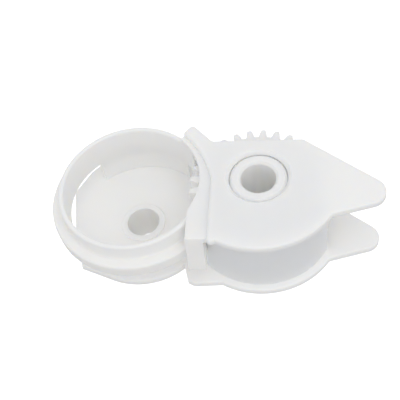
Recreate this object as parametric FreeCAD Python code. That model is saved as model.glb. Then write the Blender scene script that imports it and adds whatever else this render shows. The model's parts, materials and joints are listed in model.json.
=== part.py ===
import FreeCAD
import Part
import math
import os

# Swing gear assembly: a spur gear that turns between the two plates of a swing arm.
# Millimetres. The origin is on the pivot bore's axis, at the lower end of the pivot boss.
# +X points along the arm from the pivot to the gear, +Z points up, out of the collar.

V = FreeCAD.Vector

# ---- driving dimensions -------------------------------------------------------------------
MODULE = 0.8                      # tooth size of the swing gear and of its driving gear
GEAR_TEETH = 29
DRIVER_TEETH = 28                 # the driving gear sits in the collar and isn't part of this
PRESSURE_ANGLE = math.radians(20)
CENTRES = MODULE * (GEAR_TEETH + DRIVER_TEETH) / 2
BACKLASH = 0.10

PLATE = 1.2                       # thickness of both plates
PLATE_PITCH = 14.6                # from the lower plate's top to the upper plate's top
BOSS_DROP = 7.5                   # pivot boss below the lower plate
EDGE = 0.35                       # rounding of the mouldings' outer edges
CORNER = 0.7                      # rounding of the plates' corners
WELD = 0.2                        # how far pieces of one moulding run into each other
PAST = 1.0                        # how far a cutting solid runs past what it cuts
CLEARANCE = 0.1                   # gap between the two mouldings beside the guard wall

BORE_R = 3.1                      # pivot bore and gear bore, for 6 mm studs
RUNNING_FIT = 0.05                # radial clearance of the gear's journals

# heights
LOW_Z0 = BOSS_DROP
LOW_Z1 = LOW_Z0 + PLATE
UP_Z1 = LOW_Z1 + PLATE_PITCH
UP_Z0 = UP_Z1 - PLATE

# arm outline, measured from the gear's axis
ARC_R = 14.7                      # round front of both plates
ARC_END = math.radians(-118)      # where the round front ends beside the collar
REAR_Y = 8.0                      # straight rear edge
TAIL_REACH = 25.3                 # where the tail's two sides would meet
TAIL_TURN = math.radians(-10.5)   # direction of the tail
TAIL_HALF = math.radians(26.0)    # half of the tail's angle
TAIL_TIP_R = 2.8

# corners of the plates' collar ends, measured from the gear's axis
UPPER_FRONT = [V(-8.4, -13.5, 0), V(-8.3, -0.2, 0)]
UPPER_BOW = V(-9.7, 3.9, 0)       # middle of the curved stretch beside the ledge
UPPER_EAR = [V(-13.9, 10.1, 0), V(-12.25, 12.0, 0), V(-8.4, REAR_Y, 0)]
LOWER_FRONT = [V(-12.1, -13.2, 0), V(-13.3, -12.6, 0), V(-14.5, -8.0, 0)]
LOWER_REAR = [V(-14.5, 7.0, 0), V(-8.4, REAR_Y, 0)]

# guard wall round the front of the gear
GUARD_IN = 12.7
GUARD_OUT = 13.4
GUARD_END = math.radians(-28)     # end of the wall at the tail
GUARD_START = math.radians(-139)  # end of the wall at the collar

# collar, measured from the pivot's axis; depths are below the upper plate's top
COLLAR_IN = 12.45
COLLAR_OUT = 13.4
COLLAR_TOP = 1.9
COLLAR_FOOT = 8.05
COLLAR_ROUND = 0.4                # rounding of the collar's lip and of its foot
FLANGE_R = 15.35
FLANGE_TOP = 5.3

# ledge between the collar and the upper plate, over the gear's teeth
LEDGE_TOP = 0.9
LEDGE_FOOT = 2.1
LEDGE_R = 14.9
LEDGE_END = math.radians(48)
LEDGE_X = 15.2                    # how far it runs under the plate
LEDGE_SIDE = 0.6                  # rounding of the upper plate's edge beside the ledge
POST_X = 10.7                     # side of the front post and of the ledge above it
POST_WIDTH = 3.0
POST_Y = -14.05                   # foot of the front post's sloping face
POST_SLOPE = 1.8                  # how far that face leans back at its top
POST_BACK = -7.0                  # the post's back runs into the collar
REAR_POST_X = 9.9                 # rear post's corner nearest the pivot
REAR_POST_Y = 7.0
REAR_POST_WIDTH = 2.5

# lower floor under the collar, measured from the pivot's axis
FLOOR_FRONT_R = 12.85
FLOOR_FRONT_START = math.radians(-112.7)
FLOOR_FRONT_END = math.radians(-44)
FLOOR_REAR_R = 16.7
FLOOR_REAR_START = math.radians(29)
FLOOR_REAR_END = math.radians(153.2)
FLOOR_REAR_MIDDLE = V(-1.0, 18.3, 0)      # the rear edge bulges behind the pivot
FLOOR_SHOULDER = [V(-8.6, 16.4, 0), V(-12.2, 12.6, 0)]
FLOOR_SIDE = V(-13.2, -2.2, 0)    # middle of the floor's straight end
FLOOR_CORNER = V(-10.8, -9.6, 0)
BACK_WALL_IN = 13.5
BACK_WALL_OUT = 14.4
BACK_WALL_START = math.radians(52)
BACK_WALL_END = math.radians(130)
BOSS_R = 5.2
BOSS_RIM_R = 4.3
BOSS_RIM = 0.35                   # height of the boss's rim above the floor
BOSS_RIM_ROUND = 0.3

# gear
TIP_R = MODULE * (GEAR_TEETH + 2) / 2
ROOT_R = MODULE * (GEAR_TEETH - 2.5) / 2
GEAR_TOP = 2.4                    # depth of its toothed top face below the upper plate's top
GEAR_WIDTH = 10.4
TOOTH_BEVEL = 0.3
TOOTH_FLARE = 0.02                # how much wider a tooth is at its foot, each side, in radians
RIM_IN = 8.9
WEB = 3.0
HUB_R = 6.2
JOURNAL_R = 5.1
JOURNAL_TOP = 0.5                 # depth of the hub's end below the upper plate's top
JOURNAL_BEVEL = 0.5
END_PLAY = 0.15                   # gap at each thrust face
BORE_MOUTH = 0.4

# bearing of the gear in the upper plate
BEARING_FOOT = 2.2                # depth of the bearing's lower end below the plate's top
BEARING_OUT = 6.4
MOUTH_BEVEL = 0.6                 # bevel of the hole's mouth


# ---- helpers ------------------------------------------------------------------------------
def cyl(radius, z0, z1, x=0.0, y=0.0):
    return Part.makeCylinder(radius, z1 - z0, V(x, y, z0))


def ring(inner, outer, z0, z1, x=0.0, y=0.0):
    return cyl(outer, z0, z1, x, y).cut(cyl(inner, z0 - PAST, z1 + PAST, x, y))


def box(x0, x1, y0, y1, z0, z1):
    return Part.makeBox(x1 - x0, y1 - y0, z1 - z0, V(x0, y0, z0))


def polar(radius, angle, x=0.0, y=0.0, z=0.0):
    return V(x + radius * math.cos(angle), y + radius * math.sin(angle), z)


def line(p, q):
    return Part.LineSegment(p, q).toShape()


def prism(edges, z0, z1):
    face = Part.Face(Part.Wire(edges))
    face.translate(V(0, 0, z0))
    return face.extrude(V(0, 0, z1 - z0))


def sector(radius, a0, a1, z0, z1, x=0.0, y=0.0):
    """Pie slice, to keep or cut part of a ring."""
    centre = V(x, y, 0)
    steps = 6
    points = [polar(radius, a0 + (a1 - a0) * i / steps, x, y) for i in range(steps + 1)]
    corners = [centre] + points
    edges = [line(corners[i], corners[(i + 1) % len(corners)]) for i in range(len(corners))]
    return prism(edges, z0, z1)


def flat_edges(solid, z):
    return [e for e in solid.Edges if abs(e.BoundBox.ZMin - z) < 1e-6 and e.BoundBox.ZLength < 1e-6]


def round_rim(solid, z, radius):
    """Round all the edges that lie flat at height z."""
    return solid.makeFillet(radius, flat_edges(solid, z))


def round_corners(solid, points, radius):
    """Round the upright edges that stand at the given points."""
    edges = []
    for edge in solid.Edges:
        bounds = edge.BoundBox
        upright = bounds.XLength < 1e-6 and bounds.YLength < 1e-6
        if upright and any(math.hypot(bounds.XMin - p.x, bounds.YMin - p.y) < 1e-4 for p in points):
            edges.append(edge)
    return solid.makeFillet(radius, edges)


# ---- outlines -----------------------------------------------------------------------------
def tail_points():
    """Ends of the tail's two sides and the middle of its round tip, from the gear's axis."""
    apex = polar(TAIL_REACH, TAIL_TURN)
    tip = polar(TAIL_REACH - TAIL_TIP_R / math.sin(TAIL_HALF), TAIL_TURN)
    rear_dir = TAIL_TURN - TAIL_HALF
    front_dir = TAIL_TURN + TAIL_HALF
    rear_tip = polar(TAIL_TIP_R, rear_dir + math.pi / 2, tip.x, tip.y)
    front_tip = polar(TAIL_TIP_R, front_dir - math.pi / 2, tip.x, tip.y)
    nose = polar(TAIL_TIP_R, TAIL_TURN, tip.x, tip.y)
    rear_root = V(apex.x - (REAR_Y - apex.y) / math.tan(-rear_dir), REAR_Y, 0)
    along = apex.x * math.cos(front_dir) + apex.y * math.sin(front_dir)
    back = along - math.sqrt(along ** 2 - apex.Length ** 2 + ARC_R ** 2)
    front_root = V(apex.x - back * math.cos(front_dir), apex.y - back * math.sin(front_dir), 0)
    return rear_root, rear_tip, nose, front_tip, front_root


def arm_plate(front_points, rear_points, z0, z1, bow=None):
    """Plate with the tail and the round front, whose collar end follows the given points.

    The stretch between the front points and the rear points is straight, or an arc through bow.
    """
    rear_root, rear_tip, nose, front_tip, front_root = tail_points()
    start = math.atan2(front_root.y, front_root.x)
    arc_end = polar(ARC_R, ARC_END)
    edges = [line(rear_root, rear_tip), Part.Arc(rear_tip, nose, front_tip).toShape()]
    edges.append(line(front_tip, front_root))
    edges.append(Part.Arc(front_root, polar(ARC_R, (start + ARC_END) / 2), arc_end).toShape())
    front = [arc_end] + front_points
    rear = rear_points + [rear_root]
    edges += [line(p, q) for p, q in zip(front, front[1:])]
    if bow:
        edges.append(Part.Arc(front[-1], bow, rear[0]).toShape())
    else:
        edges.append(line(front[-1], rear[0]))
    edges += [line(p, q) for p, q in zip(rear, rear[1:])]
    outer_corners = front_points[:-1] + rear_points[1:] + [rear_root, front_root]
    return round_corners(prism(edges, z0, z1), outer_corners, CORNER)


def at_gear(solid):
    solid.translate(V(CENTRES, 0, 0))
    return solid


# ---- upper arm ----------------------------------------------------------------------------
def faces_ledge(edge):
    """True for the two long top edges of the upper plate that look towards the ledge."""
    middle = edge.CenterOfMass
    return edge.Length > ARC_R / 3 and middle.x < -HUB_R and middle.y < REAR_Y


def upper_plate():
    plate = arm_plate(UPPER_FRONT, UPPER_EAR, UP_Z0, UP_Z1, bow=UPPER_BOW)
    plate = plate.makeFillet(LEDGE_SIDE, [e for e in flat_edges(plate, UP_Z1) if faces_ledge(e)])
    plate = plate.makeFillet(EDGE, [e for e in flat_edges(plate, UP_Z1) if not faces_ledge(e)])
    return at_gear(plate)


def collar():
    """Collar wall with a rounded lip, and the thick flange round its foot."""
    z0 = UP_Z1 - COLLAR_FOOT
    z1 = UP_Z1 - COLLAR_TOP
    flange_z1 = UP_Z1 - FLANGE_TOP
    flange = round_rim(cyl(FLANGE_R, z0, flange_z1), flange_z1, COLLAR_ROUND)
    flange = round_rim(flange, z0, COLLAR_ROUND)
    body = flange.fuse(cyl(COLLAR_OUT, z0, z1)).removeSplitter()
    corner = [e for e in flat_edges(body, flange_z1) if abs(e.BoundBox.XMax - COLLAR_OUT) < 1e-3]
    body = body.makeFillet(COLLAR_ROUND, corner)
    body = body.cut(cyl(COLLAR_IN, z0 - PAST, z1 + PAST))
    return round_rim(body, z1, COLLAR_ROUND)


def ledge():
    """Step that carries the collar past the gear's teeth, and out to the front post."""
    z0 = UP_Z1 - LEDGE_FOOT
    z1 = UP_Z1 - LEDGE_TOP
    front = box(POST_X, LEDGE_X, POST_Y + POST_SLOPE, 0, z0, z1)
    rear = cyl(LEDGE_R, z0, z1).common(sector(2 * LEDGE_R, -LEDGE_END, LEDGE_END, z0, z1))
    body = front.fuse(rear.common(box(0, LEDGE_X, 0, LEDGE_R, z0, z1))).removeSplitter()
    return body.cut(cyl(COLLAR_IN, z0 - PAST, z1 + PAST))


def front_post():
    """Post under the ledge's front end, with a face that leans back towards its top."""
    z0 = UP_Z1 - COLLAR_FOOT
    z1 = UP_Z1 - LEDGE_TOP
    profile = [
        V(POST_X, POST_BACK, z0),
        V(POST_X, POST_Y, z0),
        V(POST_X, POST_Y + POST_SLOPE, z1),
        V(POST_X, POST_BACK, z1),
    ]
    side = Part.Face(Part.makePolygon(profile + profile[:1]))
    return side.extrude(V(POST_WIDTH, 0, 0))


def rear_post():
    """Square post under the ledge's rear end."""
    x1 = REAR_POST_X + REAR_POST_WIDTH
    y1 = REAR_POST_Y + REAR_POST_WIDTH
    return box(REAR_POST_X, x1, REAR_POST_Y, y1, UP_Z1 - COLLAR_FOOT, UP_Z1 - LEDGE_TOP)


def upper_arm():
    bearing = at_gear(cyl(BEARING_OUT, UP_Z1 - BEARING_FOOT, UP_Z0 + WELD))
    body = upper_plate().multiFuse([collar(), ledge(), front_post(), rear_post(), bearing])

    # room for the gear's teeth and the guard wall, and the hole for the journal
    gear_room = ring(BEARING_OUT + CLEARANCE, GUARD_OUT + CLEARANCE, LOW_Z0, UP_Z1 - LEDGE_FOOT)
    hole = cyl(JOURNAL_R + RUNNING_FIT, LOW_Z0, UP_Z1 + PAST)
    inside = cyl(COLLAR_IN, LOW_Z0, UP_Z1 + PAST)
    body = body.cut(at_gear(gear_room)).cut(at_gear(hole)).cut(inside).removeSplitter()
    hole_left = CENTRES - JOURNAL_R - RUNNING_FIT
    mouth = [e for e in flat_edges(body, UP_Z1) if abs(e.BoundBox.XMin - hole_left) < 1e-3]
    return body.makeChamfer(MOUTH_BEVEL, mouth)


# ---- lower arm ----------------------------------------------------------------------------
def lower_plate():
    plate = arm_plate(LOWER_FRONT, LOWER_REAR, LOW_Z0, LOW_Z1)
    return at_gear(round_rim(plate, LOW_Z1, EDGE))


def floor():
    """Floor under the collar: wide behind, round in front, with a straight end."""
    rear_start = polar(FLOOR_REAR_R, FLOOR_REAR_START)
    rear_end = polar(FLOOR_REAR_R, FLOOR_REAR_END)
    front_start = polar(FLOOR_FRONT_R, FLOOR_FRONT_START)
    front_middle = polar(FLOOR_FRONT_R, (FLOOR_FRONT_START + FLOOR_FRONT_END) / 2)
    front_end = polar(FLOOR_FRONT_R, FLOOR_FRONT_END)
    corners = FLOOR_SHOULDER + [rear_end, FLOOR_SIDE, FLOOR_CORNER, front_start]
    edges = [Part.Arc(rear_start, FLOOR_REAR_MIDDLE, corners[0]).toShape()]
    edges += [line(p, q) for p, q in zip(corners, corners[1:])]
    edges.append(Part.Arc(front_start, front_middle, front_end).toShape())
    edges.append(line(front_end, rear_start))
    return round_rim(prism(edges, LOW_Z0, LOW_Z1), LOW_Z1, EDGE)


def wall(inner, outer, start, end, top):
    """Upright part of a ring, standing in the lower plate."""
    z0 = LOW_Z1 - WELD
    return ring(inner, outer, z0, top).common(sector(2 * outer, start, end, z0, top))


def lower_arm():
    guard = at_gear(wall(GUARD_IN, GUARD_OUT, GUARD_START, GUARD_END, UP_Z0))
    guard = guard.cut(box(0, LEDGE_X, -CENTRES, 0, UP_Z1 - LEDGE_FOOT, UP_Z1))
    back_wall = wall(BACK_WALL_IN, BACK_WALL_OUT, BACK_WALL_START, BACK_WALL_END, UP_Z1 - COLLAR_FOOT)

    # pivot boss: a low rim above the floor and the long bearing below it
    rim_z1 = LOW_Z1 + BOSS_RIM
    boss = round_rim(cyl(BOSS_R, 0, LOW_Z0 + WELD), 0, EDGE)
    rim = round_rim(cyl(BOSS_RIM_R, LOW_Z1 - WELD, rim_z1), rim_z1, BOSS_RIM_ROUND)

    body = lower_plate().multiFuse([floor(), guard, back_wall, boss, rim])
    body = body.cut(cyl(BORE_R, -PAST, UP_Z1))
    body = body.cut(at_gear(cyl(JOURNAL_R + RUNNING_FIT, -PAST, LOW_Z1 + PAST)))
    return body.removeSplitter()


# ---- swing gear ---------------------------------------------------------------------------
def tooth_flank(base_r, half_angle_at_pitch):
    """Points of one involute flank from the base circle to the tip, for a tooth centred on +X."""
    pitch_r = MODULE * GEAR_TEETH / 2
    inv_pitch = math.tan(PRESSURE_ANGLE) - PRESSURE_ANGLE
    points = []
    steps = 7
    for i in range(steps):
        radius = base_r + (TIP_R - base_r) * i / (steps - 1)
        roll = math.acos(min(1.0, base_r / radius))
        angle = half_angle_at_pitch + inv_pitch - (math.tan(roll) - roll)
        points.append((radius, angle))
    return points


def tooth(z0, z1):
    pitch_r = MODULE * GEAR_TEETH / 2
    base_r = pitch_r * math.cos(PRESSURE_ANGLE)
    half = math.pi / (2 * GEAR_TEETH) - BACKLASH / (2 * pitch_r)
    flank = tooth_flank(base_r, half)
    foot = ROOT_R - WELD
    left = [polar(r, a) for r, a in flank]
    right = [polar(r, -a) for r, a in flank]
    left_curve = Part.BSplineCurve()
    left_curve.interpolate(left)
    right_curve = Part.BSplineCurve()
    right_curve.interpolate(right)
    left_foot = polar(foot, flank[0][1] + TOOTH_FLARE)
    right_foot = polar(foot, -flank[0][1] - TOOTH_FLARE)
    tip = Part.Arc(left[-1], polar(TIP_R, 0), right[-1]).toShape()
    edges = [line(left_foot, left[0]), left_curve.toShape(), tip, right_curve.toShape()]
    edges += [line(right[0], right_foot), line(right_foot, left_foot)]
    return prism(edges, z0, z1)


def swing_gear():
    top = UP_Z1 - GEAR_TOP
    bottom = top - GEAR_WIDTH
    middle = (top + bottom) / 2
    wheel = cyl(ROOT_R, bottom, top)
    teeth = []
    for i in range(GEAR_TEETH):
        one = tooth(bottom, top)
        one.rotate(V(0, 0, 0), V(0, 0, 1), 360.0 * i / GEAR_TEETH)
        teeth.append(one)
    wheel = wheel.multiFuse(teeth)

    # bevel the ends of the teeth
    blank = cyl(TIP_R, bottom, top)
    ends = flat_edges(blank, bottom) + flat_edges(blank, top)
    wheel = wheel.common(blank.makeChamfer(TOOTH_BEVEL, ends))

    # thin web between the rim and the hub
    pocket = ring(HUB_R, RIM_IN, bottom - PAST, top + PAST)
    pocket = pocket.cut(cyl(RIM_IN + PAST, middle - WEB / 2, middle + WEB / 2))
    wheel = wheel.cut(pocket)

    # hub with its thrust faces, and the journals that run in the plates
    journal_z1 = UP_Z1 - JOURNAL_TOP
    hub = cyl(HUB_R, LOW_Z1 + END_PLAY, UP_Z1 - BEARING_FOOT - END_PLAY)
    journals = cyl(JOURNAL_R, LOW_Z0, journal_z1)
    journals = journals.makeChamfer(JOURNAL_BEVEL, flat_edges(journals, journal_z1))
    gear = wheel.multiFuse([hub, journals])
    gear = gear.cut(cyl(BORE_R, -PAST, UP_Z1 + PAST))
    mouth = Part.makeCone(BORE_R, BORE_R + BORE_MOUTH, BORE_MOUTH, V(0, 0, journal_z1 - BORE_MOUTH))
    gear = gear.cut(mouth)
    return at_gear(gear.removeSplitter())


# ---- write --------------------------------------------------------------------------------
def write(name, shape):
    solids = shape.Solids
    shape = solids[0] if len(solids) == 1 else Part.Compound(solids)
    print(name, "solids", len(solids), "valid", shape.isValid(), "volume", round(shape.Volume, 1))
    shape.exportStep("parts/" + name + ".step")


os.makedirs("parts", exist_ok=True)
write("upper_arm", upper_arm())
write("lower_arm", lower_arm())
write("swing_gear", swing_gear())
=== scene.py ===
import json
import math

import bpy
from mathutils import Matrix, Vector


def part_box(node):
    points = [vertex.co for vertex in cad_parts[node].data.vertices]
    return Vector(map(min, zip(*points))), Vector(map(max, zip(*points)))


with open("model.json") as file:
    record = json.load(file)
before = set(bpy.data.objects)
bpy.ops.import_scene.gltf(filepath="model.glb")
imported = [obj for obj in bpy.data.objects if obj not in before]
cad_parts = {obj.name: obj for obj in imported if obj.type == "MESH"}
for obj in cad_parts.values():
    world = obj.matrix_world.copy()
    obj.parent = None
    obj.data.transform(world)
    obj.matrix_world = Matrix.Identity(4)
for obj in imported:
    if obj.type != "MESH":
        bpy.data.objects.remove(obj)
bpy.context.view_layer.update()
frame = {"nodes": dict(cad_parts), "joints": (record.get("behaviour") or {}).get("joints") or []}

# ---- places read from the frame ------------------------------------------------------------
GEAR_AXIS = Vector(frame["joints"][0]["pos_m"])
PLATE_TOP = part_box("upper_arm")[1].z
FLOOR_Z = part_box("lower_arm")[0].z
MM = 0.001

# ---- camera, in front of the arm ------------------------------------------------------------
VIEW_AZIMUTH = math.radians(13.24)
VIEW_ELEVATION = math.radians(54.69)
VIEW_ROLL = math.radians(-11.73)
VIEW_DISTANCE = 123.34 * MM
VIEW_TARGET = Vector((13.0 * MM, -4.97 * MM, PLATE_TOP))
VIEW_LENS = 65.15

# ---- studio --------------------------------------------------------------------------------
FLOOR_HALF = 2.0
FLOOR_GLOW = 0.75
SKY_BELOW = 0.72
SKY_ABOVE = 0.72
LAMP_OFFSET = Vector((0.13, -0.2, 0.48))   # from halfway between the two axes, at the plate's top
LAMP_SIZE = 0.4
LAMP_POWER = 0.6

# ---- plastic -------------------------------------------------------------------------------
ARM_COOL = (0.95, 0.95, 0.943)
ARM_WARM = (0.94, 0.936, 0.918)
GEAR_COOL = (0.96, 0.96, 0.953)
GEAR_WARM = (0.95, 0.946, 0.928)
DRIFT_SCALE = 90.0                         # blotches of tone, about 10 mm across
GRAIN_SCALE = 3500.0                       # spark-eroded grain, about 0.3 mm
GRAIN_HEIGHT = 0.02 * MM
GLOSS_ROUGHNESS = (0.38, 0.56)
SCATTER_DEPTH = 1.5 * MM


# ---- small helpers -------------------------------------------------------------------------
def node(tree, kind, **settings):
    """New shader node; a setting is a property of the node or, failing that, an input socket."""
    made = tree.nodes.new(kind)
    for name, value in settings.items():
        if hasattr(made, name):
            setattr(made, name, value)
        else:
            made.inputs[name.replace("_", " ")].default_value = value
    return made


def link(tree, source, target):
    tree.links.new(source, target)


# ---- camera --------------------------------------------------------------------------------
def make_camera():
    """Camera in front of the arm, a little to the right and well above it, and slightly rolled."""
    back = Vector((
        math.sin(VIEW_AZIMUTH) * math.cos(VIEW_ELEVATION),
        -math.cos(VIEW_AZIMUTH) * math.cos(VIEW_ELEVATION),
        math.sin(VIEW_ELEVATION),
    ))
    level_right = Vector((0, 0, 1)).cross(back).normalized()
    level_up = back.cross(level_right)
    right = level_right * math.cos(VIEW_ROLL) + level_up * math.sin(VIEW_ROLL)
    up = level_up * math.cos(VIEW_ROLL) - level_right * math.sin(VIEW_ROLL)
    data = bpy.data.cameras.new("camera")
    data.sensor_width = 36.0
    data.lens = VIEW_LENS
    data.clip_start = 0.005
    data.clip_end = 10.0
    camera = bpy.data.objects.new("camera", data)
    bpy.context.scene.collection.objects.link(camera)
    turn = Matrix((right, up, back)).transposed().to_4x4()
    camera.matrix_world = Matrix.Translation(VIEW_TARGET + back * VIEW_DISTANCE) @ turn
    bpy.context.scene.camera = camera


# ---- light and floor -----------------------------------------------------------------------
def make_area_light(name, place, size, power, target):
    data = bpy.data.lights.new(name, "AREA")
    data.shape = "DISK"
    data.size = size
    data.energy = power
    lamp = bpy.data.objects.new(name, data)
    lamp.location = place
    lamp.rotation_mode = "QUATERNION"
    lamp.rotation_quaternion = (Vector(target) - Vector(place)).to_track_quat("-Z", "Y")
    bpy.context.scene.collection.objects.link(lamp)


def make_floor():
    """White table, a little luminous, which throws no light of its own up at the object."""
    half = FLOOR_HALF
    corners = [(-half, -half), (half, -half), (half, half), (-half, half)]
    mesh = bpy.data.meshes.new("floor")
    mesh.from_pydata([(x, y, FLOOR_Z) for x, y in corners], [], [(0, 1, 2, 3)])
    floor = bpy.data.objects.new("floor", mesh)
    bpy.context.scene.collection.objects.link(floor)
    material = bpy.data.materials.new("floor_white")
    material.use_nodes = True
    shader = material.node_tree.nodes["Principled BSDF"]
    shader.inputs["Base Color"].default_value = (0.9, 0.9, 0.9, 1)
    shader.inputs["Roughness"].default_value = 0.9
    shader.inputs["Emission Color"].default_value = (1, 1, 1, 1)
    shader.inputs["Emission Strength"].default_value = FLOOR_GLOW
    mesh.materials.append(material)
    floor.visible_diffuse = False
    floor.visible_glossy = False


def make_sky(below, above):
    """White surroundings, graded from straight below to straight above.

    Both strengths are the same at present, so the light is even. The nodes stay, because a plain
    constant strength renders the object a few levels brighter.
    """
    world = bpy.data.worlds.new("studio")
    bpy.context.scene.world = world
    world.use_nodes = True
    tree = world.node_tree
    place = node(tree, "ShaderNodeTexCoord")
    split = node(tree, "ShaderNodeSeparateXYZ")
    link(tree, place.outputs["Generated"], split.inputs["Vector"])
    grade = node(tree, "ShaderNodeMapRange", From_Min=-1.0, From_Max=1.0, To_Min=below, To_Max=above)
    link(tree, split.outputs["Z"], grade.inputs["Value"])
    background = tree.nodes["Background"]
    background.inputs["Color"].default_value = (1, 1, 1, 1)
    link(tree, grade.outputs["Result"], background.inputs["Strength"])


def make_light():
    """Even surroundings and one large soft lamp high in front, to the right."""
    make_sky(SKY_BELOW, SKY_ABOVE)
    centre = Vector((GEAR_AXIS.x / 2, 0, PLATE_TOP))
    make_area_light("key_lamp", centre + LAMP_OFFSET, LAMP_SIZE, LAMP_POWER, centre)


# ---- materials -----------------------------------------------------------------------------
def make_plastic(name, cool, warm):
    """Natural moulded plastic: white, a little translucent, with a fine spark-eroded grain."""
    material = bpy.data.materials.new(name)
    material.use_nodes = True
    tree = material.node_tree
    shader = tree.nodes["Principled BSDF"]
    place = node(tree, "ShaderNodeTexCoord")

    # slow drift between a cooler and a warmer white
    drift = node(tree, "ShaderNodeTexNoise", Scale=DRIFT_SCALE, Detail=2.0, Roughness=0.5)
    link(tree, place.outputs["Object"], drift.inputs["Vector"])
    tone = node(tree, "ShaderNodeValToRGB")
    tone.color_ramp.elements[0].position = 0.35
    tone.color_ramp.elements[0].color = (*warm, 1)
    tone.color_ramp.elements[1].position = 0.65
    tone.color_ramp.elements[1].color = (*cool, 1)
    link(tree, drift.outputs["Fac"], tone.inputs["Fac"])
    link(tree, tone.outputs["Color"], shader.inputs["Base Color"])

    # fine grain in the surface and in its gloss
    grain = node(tree, "ShaderNodeTexNoise", Scale=GRAIN_SCALE, Detail=3.0, Roughness=0.6)
    link(tree, place.outputs["Object"], grain.inputs["Vector"])
    gloss = node(tree, "ShaderNodeMapRange")
    gloss.inputs["To Min"].default_value = GLOSS_ROUGHNESS[0]
    gloss.inputs["To Max"].default_value = GLOSS_ROUGHNESS[1]
    link(tree, grain.outputs["Fac"], gloss.inputs["Value"])
    link(tree, gloss.outputs["Result"], shader.inputs["Roughness"])
    bump = node(tree, "ShaderNodeBump", Strength=0.25, Distance=GRAIN_HEIGHT)
    link(tree, grain.outputs["Fac"], bump.inputs["Height"])
    link(tree, bump.outputs["Normal"], shader.inputs["Normal"])

    shader.inputs["IOR"].default_value = 1.48
    shader.inputs["Subsurface Weight"].default_value = 0.8
    shader.inputs["Subsurface Radius"].default_value = (1.0, 0.9, 0.75)
    shader.inputs["Subsurface Scale"].default_value = SCATTER_DEPTH
    return material


def dress(node_name, material):
    mesh = frame["nodes"][node_name].data
    mesh.materials.clear()
    mesh.materials.append(material)


bpy.context.scene.view_settings.view_transform = "Standard"
make_camera()
make_floor()
make_light()
arm_plastic = make_plastic("arm_plastic_natural", ARM_COOL, ARM_WARM)
gear_plastic = make_plastic("gear_plastic_natural", GEAR_COOL, GEAR_WARM)
dress("upper_arm", arm_plastic)
dress("lower_arm", arm_plastic)
dress("swing_gear", gear_plastic)
